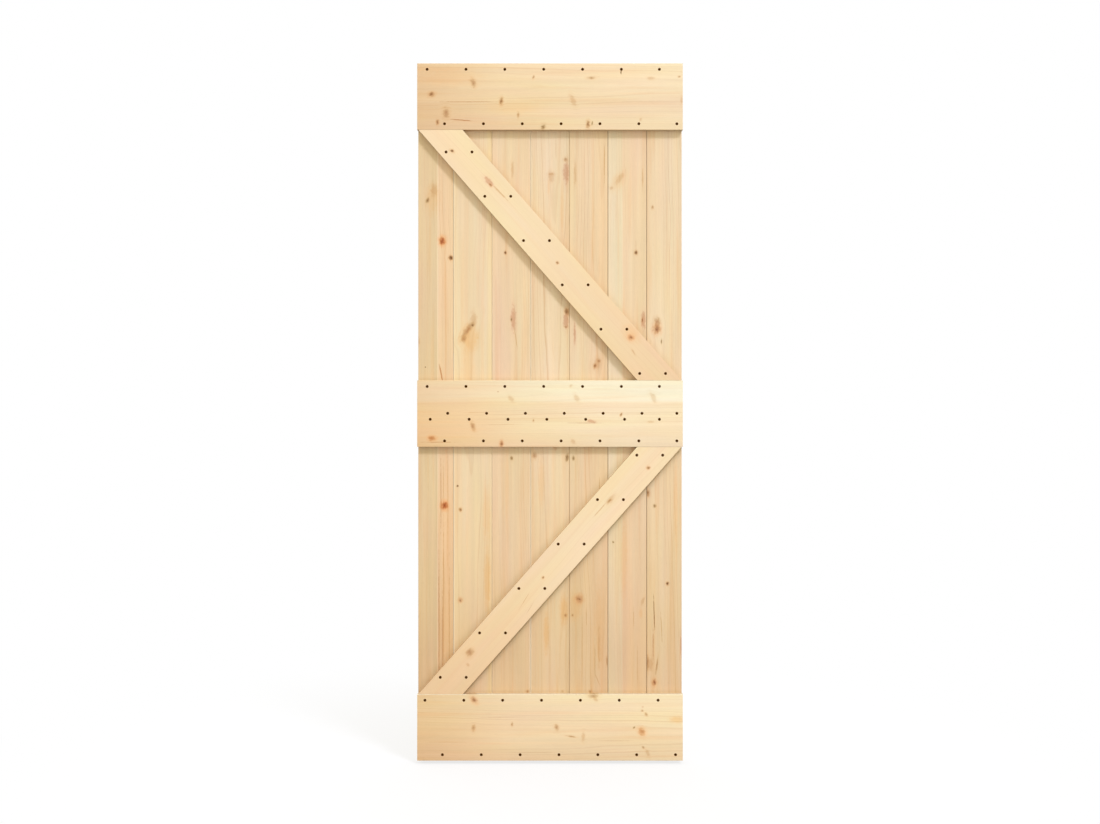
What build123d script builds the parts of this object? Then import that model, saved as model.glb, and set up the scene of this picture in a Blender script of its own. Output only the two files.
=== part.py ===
from build123d import *

import os
from math import ceil, sqrt

# Sliding barn door leaf of solid pine: tongue-and-groove boards side by side, held together
# by three flat rails and two diagonal braces that are screwed on from the front.
#
# Millimetres, +Z up, +X to the right seen from the front, +Y into the leaf.
# The origin is on the front face of the top rail, at its centre, where the hangers are bolted on.

# Leaf
LEAF_WIDTH = 800.0
LEAF_HEIGHT = 2100.0

# Boards. The cover is the width that one board adds to the leaf, without its tongue.
BOARD_THICKNESS = 18.0
BOARD_COVER = 117.0
BOARD_INSET = 1.5  # how far the boards stay back from each end of the rails
SEAM_GAP = 0.6  # open joint between two neighbouring boards
V_JOINT = 1.2  # chamfer on each long arris of a board
TONGUE_LENGTH = 7.0
TONGUE_THICKNESS = 6.0
TONGUE_CHAMFER = 0.8
TONGUE_CLEARANCE = 0.3  # on each flat of the tongue
TIP_CLEARANCE = 1.0  # between the tongue's tip and the floor of its groove

# Rails and braces lie flat on the boards.
RAIL_HEIGHT = 200.0
RAIL_THICKNESS = 18.0
ARRIS_RADIUS = 0.8  # eased front edges
MIDDLE_RAIL_DROP = 5.0  # middle rail's centre below the leaf's centre
BRACE_WIDTH = 100.0
BRACE_TIP_INSET = 4.0  # from a brace's outer tip to the end of the rails
BRACE_JOINT_GAP = 0.3  # between a brace's cut end and the rail that it meets

# Countersunk screw seats
SEAT_DIAMETER = 8.0
SEAT_DEPTH = 2.1
SEAT_SLOPE = 45.0  # half of the screw head's cone angle
SEAT_SIDES = 12  # enough to read as round at this size
ROW_EDGE_DISTANCE = 18.0  # from the outer rows to the rail's long edges
SCREW_END_DISTANCE = 18.0  # from the last screw of a row to the rail's end
SCREW_STAGGER = 52.5  # sideways step between the two rows of a staggered pair
UPPER_RAILS_SETBACK = 77.5  # first row to the next seam, on the top rail and the middle rail
BOTTOM_RAIL_SETBACK = 84.0
INNER_ROWS_SETBACK = 68.0
INNER_ROW_SPACING = 18.0  # the two rows near the middle rail's centre line
INNER_ROW_DROP = 8.0  # centre of those two rows below the rail's own centre
BRACE_PAIRS = 6
BRACE_PAIR_WIDTH = 78.0
# Height from each end of a brace to its nearest pair of screws
UPPER_BRACE_LEFT_SCREWS = 67.0
UPPER_BRACE_RIGHT_SCREWS = 21.0
LOWER_BRACE_LEFT_SCREWS = 51.0
LOWER_BRACE_RIGHT_SCREWS = 25.0
# How far to the right of a brace's centre line its pairs sit
UPPER_BRACE_SCREW_SHIFT = -2.5
LOWER_BRACE_SCREW_SHIFT = -7.0

# Heights of the rails, from the origin at the top rail's centre
LEAF_TOP = RAIL_HEIGHT / 2
LEAF_BOTTOM = LEAF_TOP - LEAF_HEIGHT
TOP_RAIL_Z = 0.0
MIDDLE_RAIL_Z = (LEAF_TOP + LEAF_BOTTOM) / 2 - MIDDLE_RAIL_DROP
BOTTOM_RAIL_Z = LEAF_BOTTOM + RAIL_HEIGHT / 2

# The boards' field and how many boards fill it. The two end boards share what is left over.
FIELD_WIDTH = LEAF_WIDTH - 2 * BOARD_INSET
BOARD_COUNT = ceil(FIELD_WIDTH / BOARD_COVER)
FULL_BOARDS = BOARD_COUNT - 2
FIRST_SEAM = -FULL_BOARDS * BOARD_COVER / 2


def seam(number):
    """Place across the leaf of a seam between boards, counted from 0 on the left."""
    return FIRST_SEAM + number * BOARD_COVER


def board(left, right, grooved, tongued):
    """One board from its left edge to its right edge, with the joints it has there."""
    half_gap = SEAM_GAP / 2
    left_shoulder = left + half_gap if grooved else left
    right_shoulder = right - half_gap if tongued else right
    centre = ((left_shoulder + right_shoulder) / 2, RAIL_THICKNESS + BOARD_THICKNESS / 2)
    body = Rectangle(right_shoulder - left_shoulder, BOARD_THICKNESS)
    profile = Pos(*centre) * chamfer(body.vertices(), V_JOINT)
    if tongued:
        tongue = Rectangle(TONGUE_LENGTH, TONGUE_THICKNESS, align=(Align.MIN, Align.CENTER))
        tip = tongue.vertices().sort_by(Axis.X)[-2:]
        profile += Pos(right_shoulder, centre[1]) * chamfer(tip, TONGUE_CHAMFER)
    if grooved:
        groove_depth = TONGUE_LENGTH - SEAM_GAP + TIP_CLEARANCE
        groove_width = TONGUE_THICKNESS + 2 * TONGUE_CLEARANCE
        groove = Rectangle(groove_depth, groove_width, align=(Align.MIN, Align.CENTER))
        profile -= Pos(left_shoulder, centre[1]) * groove
    return Pos(0, 0, LEAF_BOTTOM) * extrude(profile, LEAF_HEIGHT)


def boards():
    """All boards from left to right, each with a groove on its left and a tongue on its right."""
    made = {}
    for number in range(BOARD_COUNT):
        first, last = number == 0, number == BOARD_COUNT - 1
        left = -FIELD_WIDTH / 2 if first else seam(number - 1)
        right = FIELD_WIDTH / 2 if last else seam(number)
        made[f"board_{number + 1}"] = board(left, right, grooved=not first, tongued=not last)
    return made


def sink_seats(piece, places):
    """Cuts a tapered seat for a countersunk screw head into the front face at each (x, z)."""
    seat = extrude(RegularPolygon(SEAT_DIAMETER / 2, SEAT_SIDES), SEAT_DEPTH, taper=SEAT_SLOPE)
    return piece - [Plane((x, 0, z), z_dir=(0, 1, 0)) * seat for x, z in places]


def front_edges(piece):
    """The edges that run round a flat piece's front face."""
    return piece.faces().sort_by(Axis.Y)[0].edges()


def staggered_rows(upper_z, lower_z, upper_setback, lower_setback):
    """Two screw rows with one screw per board each, set back from the seam on the board's right.

    On the last board both screws move in together, far enough to keep clear of the rail's end.
    """
    limit = LEAF_WIDTH / 2 - SCREW_END_DISTANCE
    nearest = min(upper_setback, lower_setback)
    places = []
    for number in range(BOARD_COUNT):
        line = min(seam(number), limit + nearest)
        places += [(line - upper_setback, upper_z), (line - lower_setback, lower_z)]
    return places


def outer_rows(rail_z, setback):
    """The staggered rows along a rail's upper and lower edges."""
    reach = RAIL_HEIGHT / 2 - ROW_EDGE_DISTANCE
    return staggered_rows(rail_z + reach, rail_z - reach, setback, setback - SCREW_STAGGER)


def inner_rows(rail_z):
    """The two close rows near the middle rail's centre line."""
    centre = rail_z - INNER_ROW_DROP
    half = INNER_ROW_SPACING / 2
    upper_setback = INNER_ROWS_SETBACK - SCREW_STAGGER
    return staggered_rows(centre + half, centre - half, upper_setback, INNER_ROWS_SETBACK)


def rail(rail_z, seats):
    """A flat rail across the whole leaf, with eased front edges."""
    blank = Box(LEAF_WIDTH, RAIL_THICKNESS, RAIL_HEIGHT, align=(Align.CENTER, Align.MIN, Align.CENTER))
    eased = fillet(front_edges(blank), ARRIS_RADIUS)
    return sink_seats(Pos(0, 0, rail_z) * eased, seats)


def level_cut_width(height):
    """Width of a brace along its level end cuts, for a brace that climbs this height.

    It solves BRACE_WIDTH = cut * height / length, where the length of the brace depends on the cut.
    """
    tip_to_tip = LEAF_WIDTH - 2 * BRACE_TIP_INSET
    reach = height * sqrt(height**2 + tip_to_tip**2 - BRACE_WIDTH**2)
    return BRACE_WIDTH * (reach - BRACE_WIDTH * tip_to_tip) / (height**2 - BRACE_WIDTH**2)


def brace(start_z, end_z, left_screws, right_screws, screw_shift):
    """A diagonal brace from its level cut on the left at start_z to that on the right at end_z."""
    climb = 1 if end_z > start_z else -1
    left_z = start_z + climb * BRACE_JOINT_GAP
    right_z = end_z - climb * BRACE_JOINT_GAP
    tip = LEAF_WIDTH / 2 - BRACE_TIP_INSET
    cut = level_cut_width(abs(right_z - left_z))
    outline = Polyline((-tip, left_z), (cut - tip, left_z), (tip, right_z), (tip - cut, right_z), close=True)
    # Plane.XZ looks along -Y, so a negative amount extrudes into the leaf.
    blank = extrude(Plane.XZ * make_face(outline), -RAIL_THICKNESS)
    long_edges = front_edges(blank).filter_by(Axis.X, reverse=True)
    eased = fillet(long_edges, ARRIS_RADIUS)

    first_z = start_z + climb * left_screws
    last_z = end_z - climb * right_screws
    seats = []
    for number in range(BRACE_PAIRS):
        z = first_z + (last_z - first_z) * number / (BRACE_PAIRS - 1)
        along = (z - left_z) / (right_z - left_z)
        middle = (cut / 2 - tip) * (1 - 2 * along) + screw_shift
        seats += [(middle - BRACE_PAIR_WIDTH / 2, z), (middle + BRACE_PAIR_WIDTH / 2, z)]
    return sink_seats(eased, seats)


def leaf():
    """Every piece of the leaf by name."""
    half_rail = RAIL_HEIGHT / 2
    pieces = boards()
    pieces["top_rail"] = rail(TOP_RAIL_Z, outer_rows(TOP_RAIL_Z, UPPER_RAILS_SETBACK))
    pieces["middle_rail"] = rail(
        MIDDLE_RAIL_Z,
        outer_rows(MIDDLE_RAIL_Z, UPPER_RAILS_SETBACK) + inner_rows(MIDDLE_RAIL_Z),
    )
    pieces["bottom_rail"] = rail(BOTTOM_RAIL_Z, outer_rows(BOTTOM_RAIL_Z, BOTTOM_RAIL_SETBACK))
    pieces["upper_brace"] = brace(
        TOP_RAIL_Z - half_rail,
        MIDDLE_RAIL_Z + half_rail,
        UPPER_BRACE_LEFT_SCREWS,
        UPPER_BRACE_RIGHT_SCREWS,
        UPPER_BRACE_SCREW_SHIFT,
    )
    pieces["lower_brace"] = brace(
        BOTTOM_RAIL_Z + half_rail,
        MIDDLE_RAIL_Z - half_rail,
        LOWER_BRACE_LEFT_SCREWS,
        LOWER_BRACE_RIGHT_SCREWS,
        LOWER_BRACE_SCREW_SHIFT,
    )
    return pieces


os.makedirs("parts", exist_ok=True)
for name, piece in leaf().items():
    piece.label = name
    export_step(piece, f"parts/{name}.step")
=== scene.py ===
import random
from collections import namedtuple
from math import atan2, cos, pi, radians, sin

import bmesh
import bpy
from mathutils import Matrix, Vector


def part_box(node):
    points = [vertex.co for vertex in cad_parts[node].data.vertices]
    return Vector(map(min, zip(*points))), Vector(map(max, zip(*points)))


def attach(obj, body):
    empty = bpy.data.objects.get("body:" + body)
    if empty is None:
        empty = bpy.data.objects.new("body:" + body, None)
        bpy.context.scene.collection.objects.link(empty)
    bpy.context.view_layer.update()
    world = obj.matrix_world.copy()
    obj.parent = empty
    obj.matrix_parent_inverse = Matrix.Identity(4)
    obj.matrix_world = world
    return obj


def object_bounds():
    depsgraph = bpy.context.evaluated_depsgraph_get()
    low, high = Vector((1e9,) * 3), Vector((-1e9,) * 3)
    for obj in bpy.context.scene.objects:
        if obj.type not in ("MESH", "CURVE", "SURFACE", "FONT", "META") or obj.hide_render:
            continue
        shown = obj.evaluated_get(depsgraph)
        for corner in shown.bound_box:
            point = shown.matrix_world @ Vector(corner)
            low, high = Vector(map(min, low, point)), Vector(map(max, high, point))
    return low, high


# The looks of a sliding door leaf in bare knotty pine. Every place that is read off the leaf's front
# is in millimetres: x from the leaf's centre line, and drop below its top edge.

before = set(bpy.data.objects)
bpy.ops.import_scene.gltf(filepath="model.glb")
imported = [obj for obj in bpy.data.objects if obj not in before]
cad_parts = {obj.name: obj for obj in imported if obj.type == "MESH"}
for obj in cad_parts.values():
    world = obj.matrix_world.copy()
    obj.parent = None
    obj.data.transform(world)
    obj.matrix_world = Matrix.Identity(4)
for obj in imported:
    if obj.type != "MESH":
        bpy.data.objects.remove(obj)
CAD_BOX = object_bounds()
MM = 0.001

LEAF_LOW, LEAF_HIGH = CAD_BOX
LEAF_TOP = LEAF_HIGH.z
LEAF_MIDDLE = (LEAF_LOW + LEAF_HIGH) / 2

BOARDS = [name for name in sorted(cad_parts) if name.startswith("board_")]
RAILS = ["top_rail", "middle_rail", "bottom_rail"]
BRACES = ["upper_brace", "lower_brace"]


def srgb(red, green, blue):
    """A colour as it is seen on screen, 0 to 255, turned into the linear colour of a shader."""
    def linear(level):
        share = level / 255
        return share / 12.92 if share <= 0.04045 else ((share + 0.055) / 1.055) ** 2.4
    return (linear(red), linear(green), linear(blue), 1.0)


# Tones of planed pine, from pale sapwood to warm heartwood
TONES = {
    "ivory": srgb(255, 244, 212),
    "butter": srgb(253, 233, 193),
    "linen": srgb(243, 223, 185),
    "lemon": srgb(246, 221, 175),
    "peach": srgb(251, 226, 185),
    "cream": srgb(247, 223, 184),
    "straw": srgb(243, 218, 178),
    "wheat": srgb(241, 214, 173),
    "rose": srgb(243, 213, 174),
    "honey": srgb(242, 210, 166),
    "tan": srgb(233, 206, 162),
}
PINE = srgb(240, 210, 168)
LATEWOOD = srgb(216, 170, 114)
# Painted light along pale arrises and seams, and painted shade along dark ones
PAINTED_ARRIS_LIGHT = srgb(255, 241, 210)
PAINTED_ARRIS_SHADE = srgb(104, 62, 34)

# Tints that multiply a piece's tone
PLAIN = (1.0, 1.0, 1.0, 1.0)
MELLOW = (0.97, 0.94, 0.89, 1.0)
TOAST = (0.935, 0.865, 0.80, 1.0)
EMBER = (0.895, 0.80, 0.72, 1.0)
DUSK = (0.885, 0.815, 0.74, 1.0)
SAP = (0.95, 0.91, 0.85, 1.0)
HEART_AND_SHADE = (0.85, 0.735, 0.615, 1.0)
RUSSET = (0.87, 0.715, 0.58, 1.0)
AMBER = (0.925, 0.81, 0.70, 1.0)
WARM_STREAK = (0.97, 0.87, 0.76)
PALE_STREAK = (1.02, 1.05, 1.09)
# painted shade on the side faces, which also holds down the light they throw onto the boards
PAINTED_EDGE_SHADE = (0.66, 0.62, 0.57)
END_SHADE = (0.92, 0.84, 0.74)
# painted shade on the boards along the rails and braces, where they meet
PAINTED_JOINT_SHADE = (0.80, 0.82, 0.79)
HUE_DRIFT = (0.05, 0.11, 0.17)  # how far red, green and blue wander apart


def stain(red, green, blue):
    """What a mark multiplies the wood by, named by the colour that it gives to plain pine."""
    return tuple(seen / plain for seen, plain in zip(srgb(red, green, blue), PINE))


# Marks on the wood: the stain round them, their body and their core, and how far they push the grain aside
TINT = stain(241, 206, 160)
HAZE = stain(240, 202, 154)
GLOW = stain(238, 196, 142)
FAINT = stain(226, 188, 142)
BLUSH = stain(217, 169, 130)
THREAD = stain(222, 182, 132)
CRACK = stain(200, 142, 92)
SPLIT = stain(170, 126, 82)
Style = namedtuple("Style", "halo body core push")
STYLES = {
    "tint": Style(TINT, TINT, TINT, 0.0),
    "haze": Style(HAZE, HAZE, HAZE, 0.0),
    "glow": Style(GLOW, GLOW, GLOW, 0.0),
    "faint": Style(stain(237, 204, 160), FAINT, FAINT, 0.2),
    "blush": Style(stain(238, 203, 162), BLUSH, BLUSH, 0.1),
    "tan": Style(stain(235, 199, 152), stain(210, 170, 124), stain(196, 150, 106), 0.4),
    "amber": Style(stain(240, 194, 142), stain(212, 156, 104), stain(204, 144, 90), 0.4),
    "olive": Style(stain(233, 200, 153), stain(186, 150, 104), stain(152, 118, 74), 0.3),
    "soft": Style(stain(239, 196, 148), stain(218, 170, 124), stain(176, 126, 84), 0.4),
    "knot": Style(stain(235, 194, 145), stain(192, 146, 98), stain(156, 112, 70), 0.4),
    "red": Style(stain(238, 192, 142), stain(198, 144, 96), stain(154, 102, 64), 0.5),
    "rust": Style(stain(240, 182, 122), stain(190, 112, 60), stain(154, 82, 38), 0.5),
    "dark": Style(stain(231, 191, 142), stain(160, 114, 68), stain(92, 60, 28), 0.5),
    "pin": Style(PLAIN, stain(158, 116, 70), stain(92, 60, 28), 0.2),
    "line": Style(PLAIN, THREAD, THREAD, 0.0),
    "crack": Style(PLAIN, CRACK, CRACK, 0.0),
    "split": Style(PLAIN, SPLIT, SPLIT, 0.0),
}

# Knots, streaks and resin lines: place, length and width in millimetres, then the lean of the long axis
# from the grain, in degrees, counter-clockwise seen from the front
Mark = namedtuple("Mark", "x drop length width lean style")
MARKS = {
    "top_rail": [
        Mark(-231, 59, 24, 14, 112, "tan"),
        Mark(-357, 93, 19, 13, 10, "knot"),
        Mark(-147, 114, 20, 10, 85, "knot"),
        Mark(69, 111, 34, 13, 112, "faint"),
        Mark(-313, 150, 28, 18, 90, "tan"),
        Mark(-339, 177, 14, 9, 90, "knot"),
        Mark(-96, 156, 16, 6, 90, "tan"),
        Mark(-21, 192, 16, 12, 60, "olive"),
        Mark(115, 183, 22, 11, 90, "knot"),
        Mark(127, 181, 11, 4, 85, "olive"),
        Mark(-50, 42, 11, 6, 80, "tan"),
        Mark(125, 44, 24, 8, 5, "tan"),
        Mark(304, 45, 20, 9, 0, "faint"),
        Mark(389, 40, 8, 6, 0, "tan"),
        Mark(396, 110, 20, 6, 90, "faint"),
        Mark(214, 27, 12, 4, 90, "pin"),
        Mark(273, 169, 10, 7, 60, "faint"),
        Mark(-240, 116, 180, 1.8, 0, "crack"),
        Mark(-268, 171, 70, 3.4, -4, "crack"),
        Mark(-110, 130, 110, 26, 0, "tint"),
        Mark(-300, 42, 120, 34, 0, "tint"),
    ],
    "middle_rail": [
        Mark(-117, 1010, 20, 12, 130, "faint"),
        Mark(80, 1008, 26, 12, 120, "faint"),
        Mark(311, 1006, 30, 14, 120, "faint"),
        Mark(-232, 1092, 25, 12, 110, "tan"),
        Mark(-356, 1129, 20, 14, 0, "amber"),
        Mark(-146, 1146, 18, 10, 85, "red"),
        Mark(69, 1139, 16, 11, 120, "faint"),
        Mark(-50, 1075, 8, 5, 80, "tan"),
        Mark(125, 1078, 26, 9, -8, "blush"),
        Mark(303, 1080, 18, 6, 0, "faint"),
        Mark(214, 1058, 10, 6.5, 60, "knot"),
        Mark(63, 971, 10, 8, 0, "faint"),
        Mark(-157, 989, 5, 3, 0, "tan"),
        Mark(268, 1056, 215, 1.4, 0, "line"),
        Mark(-227, 1052, 70, 1.4, 0, "line"),
        Mark(100, 1083, 110, 1.6, 0, "crack"),
        Mark(-337, 1141, 100, 1.5, 0, "crack"),
        Mark(-150, 1088, 120, 1.4, 1, "line"),
    ],
    "bottom_rail": [
        Mark(-229, 1917, 24, 15, 130, "soft"),
        Mark(-230, 2001, 18, 10, 85, "tan"),
        Mark(-114, 1990, 11, 6, 90, "tan"),
        Mark(20, 2000, 16, 12, 110, "tan"),
        Mark(64, 2027, 26, 5, -8, "tan"),
        Mark(100, 2028, 26, 10, 85, "faint"),
        Mark(131, 1905, 28, 14, 0, "tan"),
        Mark(137, 1914, 18, 10, 120, "faint"),
        Mark(279, 1938, 6, 5, 0, "faint"),
        Mark(278, 1950, 8, 6, 0, "tan"),
        Mark(289, 1960, 11, 8, 130, "tan"),
        Mark(253, 2000, 7, 5, 45, "olive"),
        Mark(277, 2013, 22, 18, 120, "amber"),
        Mark(281, 2060, 10, 6, 130, "tan"),
        Mark(294, 2076, 22, 10, 110, "faint"),
        Mark(382, 1976, 30, 14, 0, "glow"),
        Mark(-146, 1969, 120, 1.6, 1, "line"),
        Mark(-310, 2044, 120, 1.5, 0, "line"),
        Mark(-50, 2075, 160, 1.4, 0, "line"),
        Mark(190, 2040, 120, 1.4, 0, "line"),
    ],
    "upper_brace": [
        Mark(-295, 264, 13, 8, 20, "dark"),
        Mark(-185, 355, 34, 15, 0, "blush"),
        Mark(-179, 367, 11, 7, 0, "knot"),
        Mark(-151, 389, 58, 5.5, 4, "line"),
        Mark(22, 600, 9, 8, 0, "knot"),
        Mark(245, 814, 40, 32, 0, "haze"),
        Mark(244, 826, 18, 16, 0, "soft"),
        Mark(251, 869, 20, 5, -12, "faint"),
    ],
    "lower_brace": [
        Mark(296, 1218, 10, 9, 0, "knot"),
        Mark(183, 1313, 34, 14, 0, "faint"),
        Mark(179, 1318, 15, 6, 0, "tan"),
        Mark(150, 1345, 60, 4, 0, "line"),
        Mark(-21, 1549, 8, 7, 0, "knot"),
        Mark(-242, 1774, 24, 20, 0, "tan"),
        Mark(-248, 1811, 10, 8, 90, "faint"),
        Mark(-75, 1615, 60, 2, 10, "line"),
        Mark(-60, 1640, 40, 1.5, 10, "line"),
    ],
    "board_1": [
        Mark(-351, 379, 36, 19, 0, "faint"),
        Mark(-355, 408, 60, 26, 0, "haze"),
        Mark(-371, 410, 15, 9, -25, "olive"),
        Mark(-326, 532, 23, 17, 0, "rust"),
        Mark(-300, 584, 14, 12, 0, "dark"),
        Mark(-377, 914, 4, 4, 0, "pin"),
        Mark(-330, 932, 56, 4.5, 11, "crack"),
        Mark(-319, 1333, 22, 19, 0, "rust"),
        Mark(-330, 1290, 240, 2.2, 0, "crack"),
        Mark(-322, 1270, 150, 2, 0, "line"),
        Mark(-309, 1290, 380, 2.4, 0, "line"),
        Mark(-322, 1640, 500, 4, 0, "line"),
        Mark(-336, 1680, 400, 2.4, 0, "crack"),
        Mark(-326, 1740, 300, 2, 0, "crack"),
        Mark(-305, 1700, 380, 3, 0, "line"),
        Mark(-397, 837, 22, 7, 0, "faint"),
        Mark(-313, 1560, 440, 20, 0, "tint"),
    ],
    "board_2": [
        Mark(-240, 827, 52, 34, 0, "glow"),
        Mark(-250, 802, 58, 15, -38, "tan"),
        Mark(-232, 768, 40, 16, 0, "faint"),
        Mark(-234, 787, 9, 7, 0, "olive"),
        Mark(-260, 829, 21, 13, -30, "tan"),
        Mark(-246, 905, 90, 22, 0, "haze"),
        Mark(-280, 1274, 7, 6, 0, "pin"),
        Mark(-271, 1345, 11, 9, 0, "knot"),
        Mark(-192, 1360, 110, 15, 0, "haze"),
        Mark(-271, 1620, 14, 12, 0, "soft"),
        Mark(-190, 1556, 120, 12, 0, "glow"),
    ],
    "board_3": [
        Mark(-114, 316, 44, 8, 0, "faint"),
        Mark(-135, 568, 10, 6.5, 0, "dark"),
        Mark(-133, 555, 60, 1.5, 0, "line"),
        Mark(-111, 769, 76, 15, 0, "blush"),
        Mark(-117, 770, 11, 5, 0, "olive"),
        Mark(-103, 830, 70, 3, 8, "line"),
        Mark(-116, 1190, 12, 9, 0, "olive"),
        Mark(-68, 1895, 9, 8, 0, "tan"),
    ],
    "board_4": [
        Mark(4, 338, 28, 20, 0, "faint"),
        Mark(4, 330, 7, 18, 0, "faint"),
        Mark(-4, 372, 34, 5, 0, "haze"),
        Mark(49, 327, 62, 19, 0, "blush"),
        Mark(48, 286, 12, 11, 0, "tan"),
        Mark(37, 430, 100, 8, 0, "haze"),
        Mark(18, 250, 80, 2, 0, "line"),
        Mark(50, 747, 18, 12, 0, "knot"),
        Mark(48, 775, 46, 17, 0, "blush"),
        Mark(48, 793, 6, 9, 0, "tan"),
        Mark(-47, 1182, 19, 14, 0, "tan"),
        Mark(52, 1188, 23, 12, 0, "olive"),
        Mark(-25, 1263, 100, 12, 0, "haze"),
        Mark(47, 1665, 9, 8, 0, "tan"),
        Mark(43, 1650, 60, 17, 0, "glow"),
        Mark(-11, 1719, 80, 10, 0, "glow"),
        Mark(38, 1895, 8, 7, 0, "faint"),
    ],
    "board_5": [
        Mark(76, 330, 56, 7, 0, "faint"),
        Mark(165, 295, 120, 3, 0, "line"),
        Mark(75, 815, 64, 7, 0, "blush"),
        Mark(141, 905, 34, 22, -25, "faint"),
        Mark(136, 910, 12, 8, -20, "knot"),
        Mark(148, 896, 8, 7, 0, "tan"),
        Mark(71, 1190, 13, 8, 0, "olive"),
        Mark(88, 1616, 24, 20, 0, "soft"),
        Mark(75, 1640, 60, 24, 0, "haze"),
        Mark(68, 1665, 7, 5.5, 0, "tan"),
        Mark(110, 1670, 60, 2, 0, "line"),
        Mark(121, 1895, 8, 7, 0, "tan"),
        Mark(150, 1290, 100, 3, 0, "line"),
        Mark(97, 1775, 210, 2.2, 0, "line"),
        Mark(136, 1800, 110, 3, 0, "line"),
        Mark(148, 1760, 150, 3, 0, "line"),
        Mark(142, 1856, 36, 2.5, 22, "faint"),
        Mark(147, 1690, 170, 14, 0, "haze"),
        Mark(172, 1804, 26, 4, 0, "tan"),
    ],
    "board_6": [
        Mark(206, 352, 48, 25, -30, "tint"),
        Mark(210, 344, 38, 16, -36, "faint"),
        Mark(186, 372, 9, 13, 0, "faint"),
        Mark(280, 343, 50, 4.5, 0, "faint"),
        Mark(260, 568, 13, 9, 0, "dark"),
        Mark(260, 550, 50, 1.5, 0, "line"),
        Mark(283, 772, 54, 13, 0, "blush"),
        Mark(279, 772, 12, 4.5, 0, "knot"),
        Mark(191, 1444, 7, 6, 0, "olive"),
        Mark(281, 1622, 26, 8, -20, "faint"),
        Mark(275, 1660, 20, 7, 0, "haze"),
        Mark(253, 1675, 60, 2, 0, "line"),
        Mark(223, 1500, 160, 14, 0, "haze"),
        Mark(264, 1815, 140, 2, 0, "line"),
    ],
    "board_7": [
        Mark(310, 431, 12, 8, -10, "tan"),
        Mark(323, 799, 28, 22, 0, "red"),
        Mark(324, 777, 24, 18, 0, "tan"),
        Mark(337, 836, 15, 4, 0, "olive"),
        Mark(296, 1296, 20, 12, 0, "knot"),
        Mark(316, 1334, 11, 9, 0, "olive"),
        Mark(356, 1569, 10, 9, 0, "dark"),
        Mark(316, 1868, 20, 12, 0, "red"),
        Mark(323, 1818, 46, 5, -8, "tan"),
        Mark(304, 1814, 36, 14, 0, "faint"),
        Mark(315, 1660, 110, 3.2, 2, "split"),
        Mark(312, 1755, 100, 2.4, 0, "crack"),
        Mark(337, 1700, 90, 3, 3, "line"),
        Mark(396, 1757, 60, 4, 0, "blush"),
        Mark(380, 1330, 180, 9, 0, "haze"),
        Mark(295, 1806, 44, 8, 0, "tan"),
    ],
}

# How each piece was cut and coloured.
#   bands   tones across the face, from its left or lower edge (0) to the other (1)
#   ends    tints along the grain, from its start (0) to its end (1)
#   pith    where the tree's centre lay: across the face and behind it, in millimetres
#   tilt    how fast the piece runs out of the tree's axis, which stretches the rings into arches
#   rings   width of a year's growth in millimetres
#   figure  strength of the grain lines
#   arris   painted light (above 0) or painted shade (below 0) on the left or lower and the right or upper arris
Cut = namedtuple("Cut", "bands ends pith tilt rings figure arris")
DOWN = ((0.45, PLAIN), (0.65, MELLOW), (0.82, DUSK))
LATE = ((0.54, PLAIN), (0.70, MELLOW), (0.84, DUSK))
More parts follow.
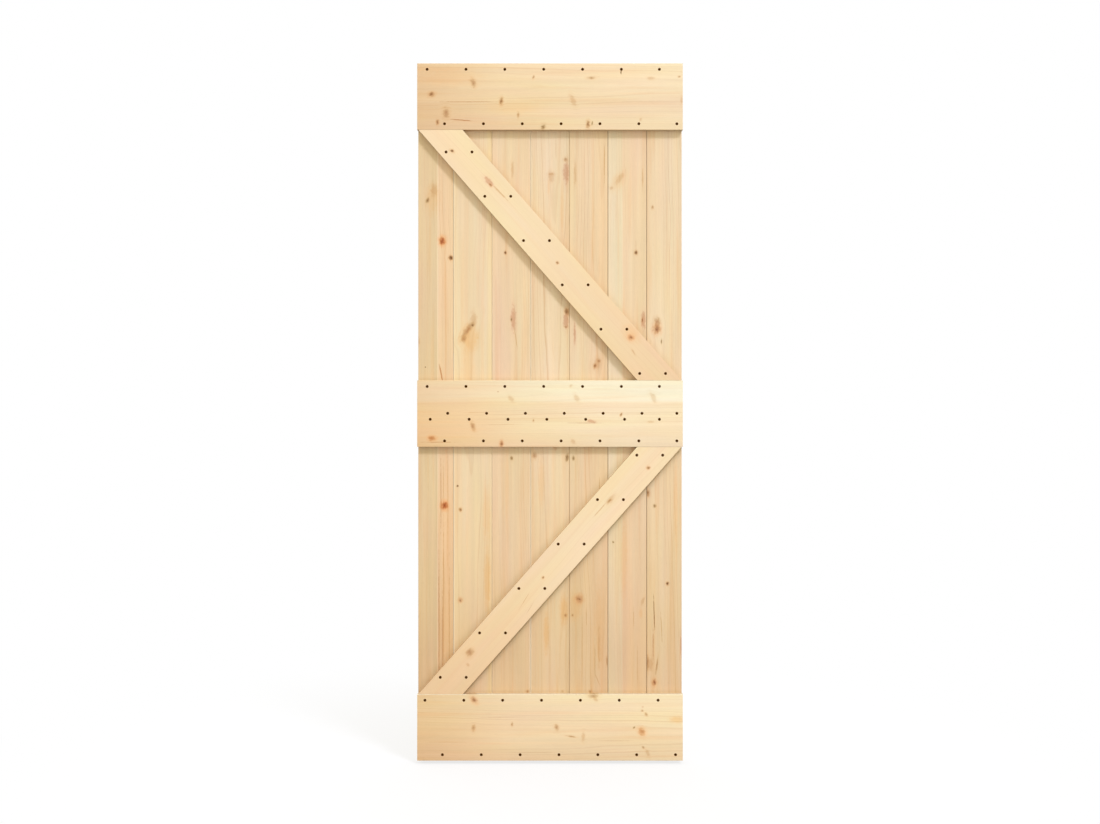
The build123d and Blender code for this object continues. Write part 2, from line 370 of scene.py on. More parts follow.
# The rails grow paler from their left end to their right: partly the wood's own tone, partly painted
# light, as the key lamp is on the right.
ALONG = ((0.0, HEART_AND_SHADE), (0.33, SAP), (1.0, PLAIN))
PALING = ((0.0, RUSSET), (0.2, AMBER), (0.4, SAP), (0.8, PLAIN))
FALLING = ((0.35, PLAIN), (0.7, MELLOW), (0.95, TOAST))
RISING = ((0.05, EMBER), (0.2, TOAST), (0.4, MELLOW), (0.6, PLAIN))
CUTS = {
    "board_1": Cut(
        ((0.505, "tan"), (0.515, "cream"), (0.535, "rose"), (0.58, "honey"), (1.0, "honey")),
        LATE, (70, 35), 0.006, 4.0, 0.75, (0.0, -0.1),
    ),
    "board_2": Cut(
        ((0.0, "lemon"), (0.45, "straw"), (0.8, "straw"), (0.88, "lemon"), (1.0, "lemon")),
        LATE, (-20, 60), 0.010, 4.5, 0.5, (1.0, 0.1),
    ),
    "board_3": Cut(
        ((0.0, "rose"), (0.6, "wheat"), (1.0, "wheat")),
        LATE, (90, 20), 0.004, 3.5, 0.6, (0.3, 0.6),
    ),
    "board_4": Cut(
        ((0.0, "wheat"), (0.5, "cream"), (0.85, "straw"), (1.0, "tan")),
        DOWN, (10, 70), 0.012, 4.5, 0.6, (0.5, 0.0),
    ),
    "board_5": Cut(
        ((0.0, "wheat"), (0.6, "wheat"), (0.85, "honey"), (1.0, "wheat")),
        DOWN, (30, 45), 0.014, 4.0, 0.8, (0.0, -0.5),
    ),
    "board_6": Cut(
        ((0.0, "linen"), (0.33, "linen"), (0.37, "rose"), (1.0, "wheat")),
        LATE, (-85, 25), 0.005, 3.8, 0.6, (0.3, -0.35),
    ),
    "board_7": Cut(
        ((0.0, "wheat"), (0.3, "straw"), (1.0, "straw")),
        DOWN, (60, 40), 0.006, 3.6, 0.75, (-0.1, 0.0),
    ),
    "top_rail": Cut(
        ((0.0, "cream"), (0.4, "cream"), (1.0, "butter")),
        ALONG, (30, 60), 0.016, 5.0, 0.5, (0.0, 0.0),
    ),
    "middle_rail": Cut(
        ((0.0, "cream"), (0.35, "butter"), (0.66, "butter"), (0.70, "ivory"), (1.0, "ivory")),
        PALING, (60, 50), 0.014, 5.0, 0.45, (0.0, 0.0),
    ),
    "bottom_rail": Cut(
        ((0.0, "wheat"), (0.12, "straw"), (0.45, "peach"), (1.0, "butter")),
        ALONG, (-30, 60), 0.016, 5.0, 0.5, (0.0, 0.9),
    ),
    "upper_brace": Cut(
        ((0.0, "peach"), (1.0, "peach")),
        FALLING, (60, 60), 0.01, 5.0, 0.2, (0.0, -0.2),
    ),
    "lower_brace": Cut(
        ((0.0, "peach"), (1.0, "peach")),
        RISING, (-60, 60), 0.01, 5.0, 0.2, (-0.2, 0.0),
    ),
}


class Tree:
    """Adds nodes to one node tree. An input is a number, a tuple or another node's output."""

    def __init__(self, tree):
        self.tree = tree

    def add(self, kind, inputs=(), **settings):
        node = self.tree.nodes.new("ShaderNode" + kind)
        for name, value in settings.items():
            setattr(node, name, value)
        for name, value in dict(inputs).items():
            self.feed(node.inputs[name], value)
        return node

    def feed(self, socket, value):
        if isinstance(value, bpy.types.NodeSocket):
            self.tree.links.new(value, socket)
        else:
            socket.default_value = value

    def math(self, operation, first, second=0.0, third=0.0):
        inputs = {0: first, 1: second, 2: third}
        return self.add("Math", inputs, operation=operation).outputs[0]

    def vector(self, operation, first, second=(0.0, 0.0, 0.0)):
        node = self.add("VectorMath", {0: first, 1: second}, operation=operation)
        return node.outputs["Value" if operation in ("LENGTH", "DOT_PRODUCT") else "Vector"]

    def scaled(self, vector, factor):
        return self.add("VectorMath", {0: vector, "Scale": factor}, operation="SCALE").outputs["Vector"]

    def ease(self, value, low, high, start=0.0, end=1.0):
        """A soft step from start at low to end at high."""
        inputs = {"Value": value, "From Min": low, "From Max": high, "To Min": start, "To Max": end}
        return self.add("MapRange", inputs, interpolation_type="SMOOTHSTEP").outputs[0]

    def noise(self, place, waves, detail=2.0, output="Fac"):
        """Noise round 0.5, with its waves per metre along, into and across the grain."""
        squeezed = self.vector("MULTIPLY", place, waves)
        inputs = {"Vector": squeezed, "Scale": 1.0, "Detail": detail}
        return self.add("TexNoise", inputs).outputs[output]

    def stray(self, place, waves, size, detail=2.0):
        """Noise round 0 that spans a size in all."""
        return self.math("MULTIPLY_ADD", self.noise(place, waves, detail), size, -size / 2)

    def mix(self, factor, first, second, blend="MIX"):
        inputs = {"Factor": factor, 6: first, 7: second}
        return self.add("Mix", inputs, data_type="RGBA", blend_type=blend, clamp_result=False).outputs[2]

    def split(self, vector):
        return self.add("SeparateXYZ", {0: vector}).outputs

    def turned(self, vector, centre, turn, size=(1.0, 1.0, 1.0)):
        """A place as seen from a frame of its own, moved, turned and scaled."""
        inputs = {"Vector": vector, "Location": centre, "Rotation": turn, "Scale": size}
        return self.add("Mapping", inputs, vector_type="TEXTURE").outputs[0]

    def ramp(self, factor, stops):
        node = self.add("ValToRGB", {0: factor})
        elements = node.color_ramp.elements
        while len(elements) < len(stops):
            elements.new(1.0)
        for element, (place, colour) in zip(elements, stops):
            element.position = place
            element.color = colour
        return node.outputs[0]

    def group(self, tree, inputs):
        node = self.add("Group", node_tree=tree)
        for name, value in inputs.items():
            self.feed(node.inputs[name], value)
        return node.outputs


def new_group(name, inputs, outputs):
    """An empty node group with its sockets, as (tree, inputs by name, outputs by name)."""
    tree = bpy.data.node_groups.new(name, "ShaderNodeTree")
    for in_out, sockets in (("INPUT", inputs), ("OUTPUT", outputs)):
        for label, kind in sockets.items():
            tree.interface.new_socket(name=label, in_out=in_out, socket_type="NodeSocket" + kind)
    entry = tree.nodes.new("NodeGroupInput")
    leave = tree.nodes.new("NodeGroupOutput")
    return tree, entry.outputs, leave.inputs


def new_material(name):
    """An empty material and a helper for its nodes."""
    material = bpy.data.materials.new(name)
    material.use_nodes = True
    material.node_tree.nodes.clear()
    return material, Tree(material.node_tree)


# Wood: the waves of its figure per metre along, into and across the grain
WANDER_WAVES = (1.3, 0.0, 0.0)
WAVER_WAVES = (5.0, 45.0, 45.0)
PATCH_WAVES = (1.7, 16.0, 16.0)
FIBRE_WAVES = (40.0, 700.0, 700.0)
STREAK_WAVES = (1.5, 80.0, 80.0)
CLOUD_WAVES = (3.0, 10.0, 10.0)
DASH_WAVES = (55.0, 1400.0, 1400.0)
WARM_WAVES = (2.2, 60.0, 60.0)
PALE_WAVES = (1.8, 42.0, 42.0)
DRIFT_WAVES = (3.0, 20.0, 20.0)
RIDGE_WAVES = (4.0, 300.0, 300.0)
PORE_WAVES = (16.0, 900.0, 900.0)
SWAY_WAVES = (2.5, 0.0, 12.0)
RIPPLE_WAVES = (90.0, 90.0, 140.0)

# How far things stray, and what keeps one noise apart from another
WANDER = 50 * MM  # the pith, from side to side
WAVER = 6 * MM  # a growth ring, from a circle
SWAY = 0.03  # a tone band, in widths of the piece
RIPPLE = (1.3, 0.0, 1.3)  # a mark's outline, in half sizes of the mark
PALE_SHIFT = (3.3, 0.7, 0.4)
DRIFT_SHIFT = (1.9, 0.2, 2.6)
SEED_STEP = (7.31, 1.93, 3.17)

# Growth rings: the share of a year in which latewood sets in and stops, and how unlike the years are
LATEWOOD_RISE = (0.5, 0.88)
LATEWOOD_FALL = (1.0, 0.93)
LINE_STRENGTH = 0.9
FAINTEST_RING = 0.1
RARITY = 3.0
PATCH_STEP = (0.3, 0.7)
PATCH_FLOOR = 0.25

# How much the figure shades the wood, and the levels of noise at which streaks and dashes set in
FIBRE_SHADE = 0.13
STREAK_SHADE = 0.18
CLOUD_SHADE = 0.14
DASH_SHADE = 0.05
DASH_STEP = (0.66, 0.76)
WARM_STEP = (0.48, 0.72)
PALE_STEP = (0.48, 0.74)
LIVELY_GAIN = 1.5

# Marks: where their parts fade out and where they are full, in half sizes from the centre
CORE_FADE = (0.6, 0.15)
BODY_FADE = (1.3, 0.55)
HALO_FADE = (2.3, 0.5)
PUSH_FADE = (3.4, 0.6)
BRANCH_RINGS = 14.0
BRANCH_RING_SHADE = 0.12

# How squarely a surface faces the front or back tells arrises and edges, and the grain tells ends
ARRIS_RISE = (0.1, 0.45)
ARRIS_FALL = (0.99, 0.85)
EDGE_STEP = (0.3, 0.05)
END_STEP = (0.75, 0.95)
STRIP = 1.8 * MM  # how far a pale arris runs on into the face
FRONT_TOLERANCE = 0.05 * MM

# Surface
SMOOTHEST = 0.48
FIBRE_ROUGHNESS = 0.16
END_ROUGHNESS = 0.2
RIDGE_SHARE = 0.6
WOOD_BUMP = 0.35
WOOD_BUMP_DEPTH = 0.4 * MM
WOOD_GLOSS = 0.3

# Painted shade on the boards above and below a rail or brace, where they meet: how far it reaches, in
# millimetres, and how dark it is
JointShade = namedtuple("JointShade", "reach_above above reach_below below")
JOINT_SHADE = {
    "top_rail": JointShade(14.0, 0.7, 5.0, 0.0),
    "middle_rail": JointShade(14.0, 0.6, 5.0, 0.0),
    "bottom_rail": JointShade(14.0, 0.55, 5.0, 0.0),
    "upper_brace": JointShade(20.0, 0.38, 5.0, 0.0),
    "lower_brace": JointShade(26.0, 0.65, 22.0, 1.0),
}


def mark_group():
    """One knot, streak or line: the stain that it leaves, and how it pushes the grain aside."""
    tree, given, result = new_group(
        "wood_mark",
        {
            "Place": "Vector", "Ripple": "Vector", "Centre": "Vector", "Size": "Vector", "Turn": "Vector",
            "Halo": "Color", "Body": "Color", "Core": "Color", "Push": "Float",
        },
        {"Stain": "Color", "Warp": "Vector"},
    )
    t = Tree(tree)
    own = t.turned(given["Place"], given["Centre"], given["Turn"], given["Size"])
    distance = t.vector("LENGTH", t.vector("ADD", own, given["Ripple"]))
    # The body shows the branch's own growth rings.
    wave = t.math("SINE", t.math("MULTIPLY", distance, BRANCH_RINGS))
    rings = t.math("MULTIPLY_ADD", wave, BRANCH_RING_SHADE, 1 - BRANCH_RING_SHADE)
    body = t.math("MULTIPLY", t.ease(distance, *BODY_FADE), rings)
    colour = t.mix(t.ease(distance, *HALO_FADE), PLAIN, given["Halo"])
    colour = t.mix(body, colour, given["Body"])
    t.feed(result["Stain"], t.mix(t.ease(distance, *CORE_FADE), colour, given["Core"]))
    offset = t.vector("SUBTRACT", given["Place"], given["Centre"])
    inward = t.vector("MULTIPLY", offset, (0.0, 0.0, -1.0))
    pushed = t.math("MULTIPLY", t.ease(distance, *PUSH_FADE), given["Push"])
    t.feed(result["Warp"], t.scaled(inward, pushed))
    return tree


def pine_group():
    """Planed pine: growth rings about a pith, fibres, streaks, stains, end grain, painted light and shade
    on arrises and painted shade on side faces.
    """
    tree, given, result = new_group(
        "pine",
        {
            "Place": "Vector", "Warp": "Vector", "Tone": "Color", "Stain": "Color", "Pith": "Vector",
            "Tilt": "Float", "Rings": "Float", "Figure": "Float", "Seed": "Vector", "Grain": "Vector",
            "Face": "Vector", "Low arris": "Float", "High arris": "Float",
        },
        {"Color": "Color", "Roughness": "Float", "Height": "Float"},
    )
    t = Tree(tree)
    bent = t.vector("ADD", given["Place"], given["Warp"])
    own = t.vector("ADD", bent, given["Seed"])
    along, into, across = t.split(bent)
    pith_across, pith_behind = t.split(given["Pith"])[:2]

    # Growth rings: circles about the pith, which wanders and runs out of the piece along its length.
    wander = t.stray(own, WANDER_WAVES, WANDER, detail=1.0)
    sideways = t.math("ADD", t.math("SUBTRACT", across, pith_across), wander)
    runout = t.math("MULTIPLY_ADD", along, given["Tilt"], pith_behind)
    depth = t.math("SUBTRACT", runout, into)
    radius = t.vector("LENGTH", t.add("CombineXYZ", {0: sideways, 1: depth}).outputs[0])
    waver = t.stray(own, WAVER_WAVES, WAVER)
    year = t.math("DIVIDE", t.math("ADD", radius, waver), given["Rings"])
    season = t.math("FRACT", year)
    late = t.math("MULTIPLY", t.ease(season, *LATEWOOD_RISE), t.ease(season, *LATEWOOD_FALL))
    vigour = t.add("TexWhiteNoise", {"W": t.math("FLOOR", year)}, noise_dimensions="1D").outputs["Value"]
    # A few years stand out, most hardly show.
    vigour = t.math("MULTIPLY_ADD", t.math("POWER", vigour, RARITY), 1 - FAINTEST_RING, FAINTEST_RING)
    patchy = t.ease(t.noise(own, PATCH_WAVES), *PATCH_STEP, PATCH_FLOOR, 1.0)
    line = t.math("MULTIPLY", late, t.math("MULTIPLY", patchy, vigour))
    line = t.math("MULTIPLY", line, given["Figure"])

    # Fibres, streaks, clouds and short dark dashes shade the wood about its tone.
    fibre = t.noise(own, FIBRE_WAVES)
    streak = t.noise(own, STREAK_WAVES, detail=3.0)
    cloud = t.noise(own, CLOUD_WAVES)
    dash = t.ease(t.noise(own, DASH_WAVES, detail=0.0), *DASH_STEP)
    lively = t.math("MINIMUM", t.math("MULTIPLY", given["Figure"], LIVELY_GAIN), 1.0)
    level = -(FIBRE_SHADE + STREAK_SHADE + CLOUD_SHADE) / 2
    shade = t.math("MULTIPLY_ADD", streak, STREAK_SHADE, level)
    shade = t.math("MULTIPLY_ADD", fibre, FIBRE_SHADE, shade)
    shade = t.math("MULTIPLY_ADD", cloud, CLOUD_SHADE, shade)
    shade = t.math("MULTIPLY_ADD", dash, -DASH_SHADE, shade)
    shade = t.math("MULTIPLY_ADD", shade, lively, 1.0)

    # Warm and pale streaks run past each other, and the hue drifts slowly.
    colour = t.mix(t.math("MULTIPLY", line, LINE_STRENGTH), given["Tone"], LATEWOOD)
    warm = t.ease(t.noise(own, WARM_WAVES, detail=3.0), *WARM_STEP)
    warmed = t.vector("MULTIPLY", colour, WARM_STREAK)
    colour = t.mix(t.math("MULTIPLY", warm, given["Figure"]), colour, warmed)
    pale = t.ease(t.noise(t.vector("ADD", own, PALE_SHIFT), PALE_WAVES, detail=3.0), *PALE_STEP)
    bleached = t.vector("MULTIPLY", colour, PALE_STREAK)
    colour = t.mix(t.math("MULTIPLY", pale, lively), colour, bleached)
    drift = t.noise(t.vector("ADD", own, DRIFT_SHIFT), DRIFT_WAVES, detail=1.0, output="Color")
    drift = t.vector("MULTIPLY", t.vector("SUBTRACT", drift, (0.5, 0.5, 0.5)), HUE_DRIFT)
    colour = t.vector("MULTIPLY", colour, t.vector("ADD", drift, (1.0, 1.0, 1.0)))
    colour = t.scaled(t.vector("MULTIPLY", colour, given["Stain"]), shade)

    # Arrises and end grain are told apart by the way the surface faces.
    normal = t.add("TexCoord").outputs["Normal"]
    facing = t.math("ABSOLUTE", t.split(normal)[1])
    arris = t.math("MULTIPLY", t.ease(facing, *ARRIS_RISE), t.ease(facing, *ARRIS_FALL))
    # Pale arrises carry painted light, a highlight along a lit edge and a bright seam; dark arrises carry
    # painted shade.
    face_low, face_high = t.split(given["Face"])[:2]
    low_strip = t.ease(t.math("SUBTRACT", across, face_low), STRIP, 0.0)
    high_strip = t.ease(t.math("SUBTRACT", face_high, across), STRIP, 0.0)
    strip = t.math("MAXIMUM", arris, t.math("MAXIMUM", low_strip, high_strip))
    side = t.ease(across, -MM, MM)
    arris_paint = t.add("Mix", {0: side, 2: given["Low arris"], 3: given["High arris"]}).outputs[0]
    painted_light = t.math("MULTIPLY", t.math("MAXIMUM", arris_paint, 0.0), strip)
    painted_shade = t.math("MULTIPLY", t.math("MAXIMUM", t.math("MULTIPLY", arris_paint, -1.0), 0.0), arris)
    colour = t.mix(painted_light, colour, PAINTED_ARRIS_LIGHT)
    colour = t.mix(painted_shade, colour, PAINTED_ARRIS_SHADE)
    # Side faces are painted darker, a painted shade that also holds down the light they throw onto the
    # boards beside them.
    edges = t.ease(facing, *EDGE_STEP)
    colour = t.mix(edges, colour, t.vector("MULTIPLY", colour, PAINTED_EDGE_SHADE))
    ends = t.ease(t.math("ABSOLUTE", t.vector("DOT_PRODUCT", normal, given["Grain"])), *END_STEP)
    colour = t.mix(ends, colour, t.vector("MULTIPLY", colour, END_SHADE))

    t.feed(result["Color"], colour)
    rough = t.math("MULTIPLY_ADD", fibre, FIBRE_ROUGHNESS, SMOOTHEST)
    t.feed(result["Roughness"], t.math("MULTIPLY_ADD", ends, END_ROUGHNESS, rough))
    # The relief takes no account of the marks, so that it is quick to work out.
    plain = t.vector("ADD", given["Place"], given["Seed"])
    ridges = t.noise(plain, RIDGE_WAVES)
    pores = t.math("MULTIPLY", t.noise(plain, PORE_WAVES), 1 - RIDGE_SHARE)
    t.feed(result["Height"], t.math("MULTIPLY_ADD", ridges, RIDGE_SHARE, pores))
    return tree


def grain_angle(node):
    """Direction of a piece's grain, in radians counter-clockwise from +X seen from the front."""
    if node in BOARDS:
        return -pi / 2
    if node in RAILS:
        return 0.0
    low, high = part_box(node)
    # A level cut's width is the reach of the corners at the brace's lower end.
    foot = [v.co.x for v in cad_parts[node].data.vertices if v.co.z < low.z + MM]
    run = high.x - low.x - (max(foot) - min(foot))
    rise = high.z - low.z
    return atan2(rise if node == "lower_brace" else -rise, run)


Reach = namedtuple("Reach", "length width face")


def extent(node, angle):
    """A piece's length and width along and across its grain, and where its front face ends across it."""
    low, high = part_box(node)
    middle = (low + high) / 2
    along = []
    across = []
    face = []
    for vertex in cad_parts[node].data.vertices:
        offset = vertex.co - middle
        along.append(offset.x * cos(angle) + offset.z * sin(angle))
        across.append(-offset.x * sin(angle) + offset.z * cos(angle))
        if vertex.co.y < low.y + FRONT_TOLERANCE:
            face.append(across[-1])
    return Reach(max(along) - min(along), max(across) - min(across), (min(face), max(face), 0.0))


def joint_group():
    """1 on the boards' front close along the rails and braces, where they take painted shade, fading to 0.
    """
    tree, given, result = new_group("joint_painted_shade", {"Place": "Vector"}, {"JointShade": "Float"})
    t = Tree(tree)
    joint_shade = 0.0
    for node in RAILS + BRACES:
        angle = grain_angle(node)
        half = extent(node, angle).width / 2
        low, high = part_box(node)
        across = t.split(t.turned(given["Place"], (low + high) / 2, (0.0, -angle, 0.0)))[2]
        above = t.ease(across, -MM, MM)
        falloff = JOINT_SHADE[node]
        spread = (falloff.reach_above - falloff.reach_below) * MM
        limit = t.math("MULTIPLY_ADD", above, spread, half + falloff.reach_below * MM)
        near = t.ease(t.math("ABSOLUTE", across), limit, half)
        darkness = t.math("MULTIPLY_ADD", above, falloff.above - falloff.below, falloff.below)
        joint_shade = t.math("MAXIMUM", joint_shade, t.math("MULTIPLY", near, darkness))
    board_low, board_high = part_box(BOARDS[0])
    front = t.math("LESS_THAN", t.split(given["Place"])[1], (board_low.y + board_high.y) / 2)
    t.feed(result["JointShade"], t.math("MULTIPLY", joint_shade, front))
    return tree


def add_marks(t, node, place, own, middle, angle, mark):
    """All the marks of one piece, as what they stain and how they bend its grain."""
    ripple = t.vector("SUBTRACT", t.noise(own, RIPPLE_WAVES, output="Color"), (0.5, 0.5, 0.5))
    ripple = t.vector("MULTIPLY", ripple, RIPPLE)
    stained = (1.0, 1.0, 1.0)
    warp = (0.0, 0.0, 0.0)
    for entry in MARKS[node]:
        style = STYLES[entry.style]
        right = entry.x * MM - middle.x
        up = LEAF_TOP - entry.drop * MM - middle.z
        shown = t.group(mark, {
            "Place": place,
            "Ripple": ripple,
            "Centre": (right * cos(angle) + up * sin(angle), 0.0, -right * sin(angle) + up * cos(angle)),
            "Size": (entry.length / 2 * MM, 1.0, entry.width / 2 * MM),
            "Turn": (0.0, -radians(entry.lean), 0.0),
            "Halo": style.halo,
            "Body": style.body,
            "Core": style.core,
            "Push": style.push,
        })
        stained = t.vector("MULTIPLY", stained, shown["Stain"])
        warp = t.vector("ADD", warp, shown["Warp"])
    return stained, warp


def pine_material(node, number, pine, mark, joints):
    """The wood of one piece, in a frame that runs along, into and across its grain."""
    cut = CUTS[node]
    angle = grain_angle(node)
    reach = extent(node, angle)
    low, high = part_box(node)
    middle = Vector(((low.x + high.x) / 2, low.y, (low.z + high.z) / 2))

    material, t = new_material(node + "_pine")
    where = t.add("TexCoord").outputs["Object"]
    place = t.turned(where, middle, (0.0, -angle, 0.0))
    seed = tuple(number * step for step in SEED_STEP)
    own = t.vector("ADD", place, seed)
    stained, warp = add_marks(t, node, place, own, middle, angle, mark)

    # Tone bands wander a little along the piece.
    along, _, across = t.split(place)
    share = t.math("MULTIPLY_ADD", across, 1 / reach.width, 0.5)
    share = t.math("ADD", share, t.stray(own, SWAY_WAVES, SWAY))
    tone = t.ramp(share, [(at, TONES[name]) for at, name in cut.bands])
    tint = t.ramp(t.math("MULTIPLY_ADD", along, 1 / reach.length, 0.5), cut.ends)
    tone = t.mix(1.0, tone, tint, "MULTIPLY")
    # Painted shade darkens the boards close along the rails and braces.
    if node in BOARDS:
        joint_shade = t.group(joints, {"Place": where})["JointShade"]
        tone = t.mix(joint_shade, tone, t.vector("MULTIPLY", tone, PAINTED_JOINT_SHADE))

    wood = t.group(pine, {
        "Place": place,
        "Warp": warp,
        "Tone": tone,
        "Stain": stained,
        "Pith": (cut.pith[0] * MM, cut.pith[1] * MM, 0.0),
        "Tilt": cut.tilt,
        "Rings": cut.rings * MM,
        "Figure": cut.figure,
        "Seed": seed,
        "Grain": (cos(angle), 0.0, sin(angle)),
        "Face": reach.face,
        "Low arris": cut.arris[0],
        "High arris": cut.arris[1],
    })
    bump = t.add("Bump", {"Height": wood["Height"], "Strength": WOOD_BUMP, "Distance": WOOD_BUMP_DEPTH})
    shader = t.add("BsdfPrincipled", {
        "Base Color": wood["Color"],
        "Roughness": wood["Roughness"],
        "Normal": bump.outputs[0],
        "Specular IOR Level": WOOD_GLOSS,
    })
    surface = t.add("OutputMaterial")
    t.feed(surface.inputs["Surface"], shader.outputs[0])
    return material


def dress_wood():
    """Gives every CAD piece its own cut of pine."""
    pine = pine_group()
    mark = mark_group()
    joints = joint_group()
    for number, node in enumerate(BOARDS + RAILS + BRACES):
        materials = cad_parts[node].data.materials
        materials.clear()
        materials.append(pine_material(node, number + 1, pine, mark, joints))


# Screws: dark countersunk heads with a cross recess, one in each seat of the rails and braces
SEAT_DEPTH = 2.1 * MM
SEAT_FIND = 0.03 * MM
SEAT_SPREAD = 5.0 * MM
CONE_RADIUS = 3.8 * MM  # at the wood's face, just clear of the seat
RIM_RADIUS = 4.4 * MM
RIM_LIFT = 0.005 * MM  # underside of the rim, just off the wood
HEAD_LIFT = 0.06 * MM
HEAD_ROUNDING = 0.2 * MM
CROSS_REACH = 2.3 * MM
CROSS_HALF_WIDTH = 0.5 * MM
CROSS_DEPTH = 1.3 * MM
CROSS_TAPER = 0.62
ROUND_STEPS = 48
BRONZE = ((0.3, srgb(60, 31, 0)), (0.55, srgb(84, 47, 3)), (0.8, srgb(112, 69, 14)))
MOTTLE_WAVES = (700.0, 700.0, 700.0)
GRIT_WAVES = (4000.0, 4000.0, 4000.0)
STEEL_METALLIC = 0.5
STEEL_GLOSS = 0.05
STEEL_SMOOTHEST = 0.4
MOTTLE_ROUGHNESS = 0.3
STEEL_BUMP = 0.2
STEEL_BUMP_DEPTH = 0.1 * MM


def seat_centres(node):
    """Centres of a piece's screw seats, found by the corners of their floors."""
    centres = []
    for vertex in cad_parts[node].data.vertices:
        if abs(vertex.co.y - SEAT_DEPTH) > SEAT_FIND:
            continue
        home = next((c for c in centres if (c[0] - vertex.co).length < SEAT_SPREAD), None)
        if home is None:
            centres.append([vertex.co.copy()])
        else:
            home.append(vertex.co.copy())
    return [(Vector(map(min, zip(*c))) + Vector(map(max, zip(*c)))) / 2 for c in centres]


def cross_radius(angle):
    """Reach of the cross recess in one direction from the head's centre."""
    turn = angle % (pi / 2)
    turn = min(turn, pi / 2 - turn)
    corner = atan2(CROSS_HALF_WIDTH, CROSS_REACH)
    if turn <= corner:
        return CROSS_REACH / cos(turn)
    return CROSS_HALF_WIDTH / sin(turn)


def head_rings():
    """A screw head as rings of (radius by angle, depth), from its buried tip out and into the recess."""
    return [
        (lambda a: CONE_RADIUS - SEAT_DEPTH, SEAT_DEPTH),
        (lambda a: CONE_RADIUS, -RIM_LIFT),
        (lambda a: RIM_RADIUS, -RIM_LIFT),
        (lambda a: RIM_RADIUS, -HEAD_LIFT / 2),
        (lambda a: RIM_RADIUS - HEAD_ROUNDING, -HEAD_LIFT),
        (lambda a: cross_radius(a), -HEAD_LIFT),
        (lambda a: cross_radius(a) * CROSS_TAPER, CROSS_DEPTH),
    ]


def add_head(mesh, centre, turn):
    """One screw head in its seat, with its recess turned by an angle."""
    corner = atan2(CROSS_HALF_WIDTH, CROSS_REACH)
    steps = [2 * pi * k / ROUND_STEPS for k in range(ROUND_STEPS)]
    for quarter in range(4):
        start = quarter * pi / 2
        steps += [start + corner, start + pi / 4, start + pi / 2 - corner]
    steps = sorted(set(round(step, 6) for step in steps))
    rings = []
    for radius, depth in head_rings():
        ring = []
        for step in steps:
            x = centre.x + cos(step + turn) * radius(step)
            z = centre.z + sin(step + turn) * radius(step)
            ring.append(mesh.verts.new((x, depth, z)))
        rings.append(ring)
    count = len(steps)
    for lower, upper in zip(rings, rings[1:]):
        for k in range(count):
            mesh.faces.new((lower[k], lower[(k + 1) % count], upper[(k + 1) % count], upper[k]))
    mesh.faces.new(list(reversed(rings[0])))
    mesh.faces.new(rings[-1])


def screw_material():
    """Dark bronzed steel, rubbed paler here and there."""
    material, t = new_material("bronzed_steel")
    place = t.add("TexCoord").outputs["Object"]
    mottle = t.noise(place, MOTTLE_WAVES, detail=3.0)
    grit = t.noise(place, GRIT_WAVES)
    bump = t.add("Bump", {"Height": grit, "Strength": STEEL_BUMP, "Distance": STEEL_BUMP_DEPTH})
    shader = t.add("BsdfPrincipled", {
        "Base Color": t.ramp(mottle, BRONZE),
        "Metallic": STEEL_METALLIC,
        "Roughness": t.math("MULTIPLY_ADD", mottle, MOTTLE_ROUGHNESS, STEEL_SMOOTHEST),
        "Normal": bump.outputs[0],
        "Specular IOR Level": STEEL_GLOSS,
    })
    surface = t.add("OutputMaterial")
    t.feed(surface.inputs["Surface"], shader.outputs[0])
    return material


def add_screws(node, material, dice):
    """All the screws of one rail or brace as one piece."""
    mesh = bmesh.new()
    for centre in seat_centres(node):
        add_head(mesh, centre, dice.uniform(0, pi / 2))
    bmesh.ops.recalc_face_normals(mesh, faces=mesh.faces)
    data = bpy.data.meshes.new(node + "_screws")
    mesh.to_mesh(data)
    mesh.free()
    data.materials.append(material)
    piece = bpy.data.objects.new(node + "_screws", data)
    bpy.context.scene.collection.objects.link(piece)
    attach(piece, "root")


# Studio
CAMERA_DISTANCE = 3.80
LENS = 41.3
SENSOR = 36.0
KEY_DIRECTION = Vector((0.409, -0.562, 0.718))
KEY_WIDTH = radians(11.0)
KEY_STRENGTH = 1.84
KEY_COLOUR = (0.77, 0.80, 1.0)
AMBIENT = 0.945
AMBIENT_COLOUR = (1.0, 0.95, 0.80, 1.0)
AMBIENT_BEHIND = 1.1
AMBIENT_COLOUR_BEHIND = (1.0, 0.98, 0.93, 1.0)
BEHIND_STEP = (-0.2, 0.2)
FLOOR_GAP = 10 * MM
FLOOR_SIZE = 40.0
FLOOR_COLOUR = 0.8
FLOOR_BOUNCE = 0.38
FLOOR_NEAR, FLOOR_FAR = 0.3, 1.8
FLOOR_WHITE = 0.75


def seen_directly(t):
    """1 for rays that show a surface to the camera, also by reflection or through glass."""
    path = t.add("LightPath").outputs
    seen = t.math("MAXIMUM", path["Is Camera Ray"], path["Is Glossy Ray"])
    return t.math("MAXIMUM", seen, path["Is Transmission Ray"])


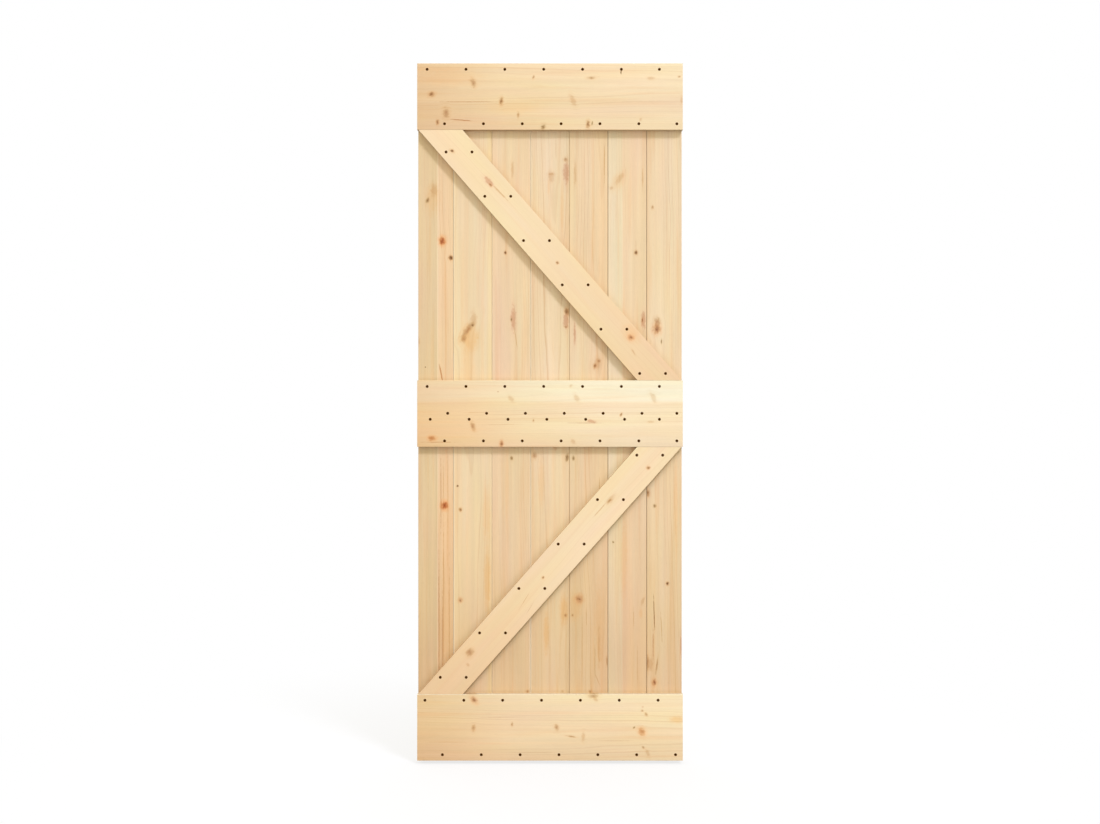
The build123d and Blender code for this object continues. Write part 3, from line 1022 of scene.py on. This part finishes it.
def add_world():
    """White to look at, and a soft light from all round."""
    world = bpy.data.worlds.new("studio")
    bpy.context.scene.world = world
    world.use_nodes = True
    world.node_tree.nodes.clear()
    t = Tree(world.node_tree)
    # In front the light is warm, to balance the cool key lamp, which leaves the back unlit.
    back = t.split(t.add("TexCoord").outputs["Generated"])[1]
    colour = t.mix(t.ease(back, *BEHIND_STEP), AMBIENT_COLOUR, AMBIENT_COLOUR_BEHIND)
    strength = t.ease(back, *BEHIND_STEP, AMBIENT, AMBIENT_BEHIND)
    soft = t.add("Background", {"Color": colour, "Strength": strength})
    white = t.add("Background", {"Color": PLAIN, "Strength": 1.0})
    mixed = t.add("MixShader", {0: seen_directly(t), 1: soft.outputs[0], 2: white.outputs[0]})
    surface = t.add("OutputWorld")
    t.feed(surface.inputs["Surface"], mixed.outputs[0])


def floor_material():
    """White further out, and pale close to the leaf, so that its shadow shows."""
    material, t = new_material("floor_white")
    place = t.add("TexCoord").outputs["Object"]
    away = t.vector("LENGTH", t.vector("MULTIPLY", place, (1.0, 1.0, 0.0)))
    white = t.math("MULTIPLY", t.ease(away, FLOOR_NEAR, FLOOR_FAR, FLOOR_WHITE, 1.0), seen_directly(t))
    # What the floor throws back up at the leaf is held down, as a dark cloth on it would do.
    bounced = t.add("LightPath").outputs["Is Diffuse Ray"]
    pale = (FLOOR_COLOUR, FLOOR_COLOUR, FLOOR_COLOUR, 1.0)
    held = (FLOOR_BOUNCE, FLOOR_BOUNCE, FLOOR_BOUNCE, 1.0)
    diffuse = t.add("BsdfDiffuse", {"Color": t.mix(bounced, pale, held)})
    glow = t.add("Emission", {"Color": PLAIN, "Strength": 1.0})
    mixed = t.add("MixShader", {0: white, 1: diffuse.outputs[0], 2: glow.outputs[0]})
    surface = t.add("OutputMaterial")
    t.feed(surface.inputs["Surface"], mixed.outputs[0])
    return material


def add_floor():
    """A white floor just below the leaf, which keeps the leaf's soft shadow."""
    data = bpy.data.meshes.new("floor")
    half = FLOOR_SIZE / 2
    level = LEAF_LOW.z - FLOOR_GAP
    corners = [(-half, -half, level), (half, -half, level), (half, half, level), (-half, half, level)]
    data.from_pydata(corners, [], [(0, 1, 2, 3)])
    data.materials.append(floor_material())
    floor = bpy.data.objects.new("floor", data)
    bpy.context.scene.collection.objects.link(floor)


def add_key():
    """One soft lamp far away, high on the right in front."""
    lamp = bpy.data.lights.new("key", "SUN")
    lamp.angle = KEY_WIDTH
    lamp.energy = KEY_STRENGTH
    lamp.color = KEY_COLOUR
    key = bpy.data.objects.new("key", lamp)
    bpy.context.scene.collection.objects.link(key)
    key.rotation_euler = (-KEY_DIRECTION).to_track_quat("-Z", "Y").to_euler()


def add_camera():
    """Straight in front of the leaf's centre."""
    camera = bpy.data.cameras.new("camera")
    camera.sensor_width = SENSOR
    camera.lens = LENS
    view = bpy.data.objects.new("camera", camera)
    bpy.context.scene.collection.objects.link(view)
    view.location = (LEAF_MIDDLE.x, LEAF_LOW.y - CAMERA_DISTANCE, LEAF_MIDDLE.z)
    view.rotation_euler = (pi / 2, 0.0, 0.0)
    bpy.context.scene.camera = view


dress_wood()
dice = random.Random(7)
steel = screw_material()
for screwed in RAILS + BRACES:
    add_screws(screwed, steel, dice)
add_world()
add_floor()
add_key()
add_camera()
bpy.context.scene.view_settings.view_transform = "Standard"

bpy.context.view_layer.update()
